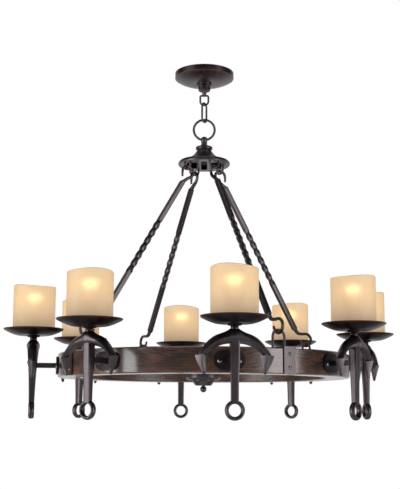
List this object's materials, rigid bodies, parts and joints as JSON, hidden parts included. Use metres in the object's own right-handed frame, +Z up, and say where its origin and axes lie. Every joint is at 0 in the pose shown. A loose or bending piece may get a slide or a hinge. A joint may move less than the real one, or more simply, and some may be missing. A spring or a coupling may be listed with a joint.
{
  "type": "chandelier",
  "caption": "Wooden wagon wheel hung by twisted iron rods from a bell-shaped crown, with amber glass lights on anchor-shaped castings around the rim.",
  "frame": {"origin": "middle of the crossbar's two screw slots, on the ceiling plane", "axes": "+Z up, out of the ceiling face; the four rods hang along +X, +Y, -X and -Y, and the eight lights stand between them"},
  "size_m": [0.9202, 0.9202, 0.8895],
  "materials": {
    "aged_iron": "dark bronze-black, rubbed to red-brown on the edges",
    "plated_steel": "dull zinc plate",
    "dark_wood": "dark brown stain under satin varnish",
    "amber_glass": "translucent cream-amber glass, lit from inside",
    "lamp_glass": "frosted lamp",
    "lampholder": "cream moulding"
  },
  "bodies": {
    "ceiling_mount": {"mounting_crossbar": "plated_steel", "canopy_stem": "plated_steel", "stem_locknut": "plated_steel", "canopy_loop": "aged_iron"},
    "canopy_cover": {"ceiling_canopy": "aged_iron", "canopy_collar": "aged_iron"},
    "link": {"chain_link": "aged_iron"},
    "ring": {"suspension_ring": "aged_iron"},
    "lamp_1": {"bulb_1": "lamp_glass"},
    "lamp_2": {"bulb_2": "lamp_glass"},
    "lamp_3": {"bulb_3": "lamp_glass"},
    "lamp_4": {"bulb_4": "lamp_glass"},
    "lamp_5": {"bulb_5": "lamp_glass"},
    "lamp_6": {"bulb_6": "lamp_glass"},
    "lamp_7": {"bulb_7": "lamp_glass"},
    "lamp_8": {"bulb_8": "lamp_glass"},
    "wheel_frame": {"crown_eye": "aged_iron", "crown_bell": "aged_iron", "crown_loops": "aged_iron", "rim_straps": "aged_iron", "rim_loops": "aged_iron", "strap_rivets": "aged_iron", "arm_plates": "aged_iron", "arm_plate_screws": "aged_iron", "arm_tubes": "aged_iron", "hub_body": "aged_iron", "hub_cap": "aged_iron", "hub_finial": "aged_iron", "drip_pans": "aged_iron", "hanger_rod_1": "aged_iron", "hanger_rod_2": "aged_iron", "hanger_rod_3": "aged_iron", "hanger_rod_4": "aged_iron", "anchor_1": "aged_iron", "anchor_2": "aged_iron", "anchor_3": "aged_iron", "anchor_4": "aged_iron", "anchor_5": "aged_iron", "anchor_6": "aged_iron", "anchor_7": "aged_iron", "anchor_8": "aged_iron", "crown_nut": "plated_steel", "socket_rings": "plated_steel", "socket_nipples": "plated_steel", "crown_plate": "plated_steel", "rim_felloe_1": "dark_wood", "rim_felloe_2": "dark_wood", "rim_felloe_3": "dark_wood", "rim_felloe_4": "dark_wood", "glass_shade_1": "amber_glass", "glass_shade_2": "amber_glass", "glass_shade_3": "amber_glass", "glass_shade_4": "amber_glass", "glass_shade_5": "amber_glass", "glass_shade_6": "amber_glass", "glass_shade_7": "amber_glass", "glass_shade_8": "amber_glass", "lampholders": "lampholder"}
  },
  "joints": [
    {"name": "canopy_drop", "type": "slide", "parent": "ceiling_mount", "child": "canopy_cover", "axis": [0, 0, -1], "range_m": [0, 0.02]},
    {"name": "link_swing", "type": "hinge", "parent": "ceiling_mount", "child": "link", "pos_m": [0, 0, -0.0855], "axis": [0.8536, -0.521, 0], "range_deg": [-25, 25]},
    {"name": "ring_swing", "type": "hinge", "parent": "link", "child": "ring", "pos_m": [0, 0, -0.1308], "axis": [0.9018, 0.4321, 0], "range_deg": [-25, 25]},
    {"name": "wheel_swing", "type": "hinge", "parent": "ring", "child": "wheel_frame", "pos_m": [0, 0, -0.179], "axis": [0.8536, -0.521, 0], "range_deg": [-20, 20]},
    {"name": "lamp_1_lift", "type": "slide", "parent": "wheel_frame", "child": "lamp_1", "axis": [0, 0, 1], "range_m": [0, 0.1]},
    {"name": "lamp_2_lift", "type": "slide", "parent": "wheel_frame", "child": "lamp_2", "axis": [0, 0, 1], "range_m": [0, 0.1]},
    {"name": "lamp_3_lift", "type": "slide", "parent": "wheel_frame", "child": "lamp_3", "axis": [0, 0, 1], "range_m": [0, 0.1]},
    {"name": "lamp_4_lift", "type": "slide", "parent": "wheel_frame", "child": "lamp_4", "axis": [0, 0, 1], "range_m": [0, 0.1]},
    {"name": "lamp_5_lift", "type": "slide", "parent": "wheel_frame", "child": "lamp_5", "axis": [0, 0, 1], "range_m": [0, 0.1]},
    {"name": "lamp_6_lift", "type": "slide", "parent": "wheel_frame", "child": "lamp_6", "axis": [0, 0, 1], "range_m": [0, 0.1]},
    {"name": "lamp_7_lift", "type": "slide", "parent": "wheel_frame", "child": "lamp_7", "axis": [0, 0, 1], "range_m": [0, 0.1]},
    {"name": "lamp_8_lift", "type": "slide", "parent": "wheel_frame", "child": "lamp_8", "axis": [0, 0, 1], "range_m": [0, 0.1]}
  ]
}
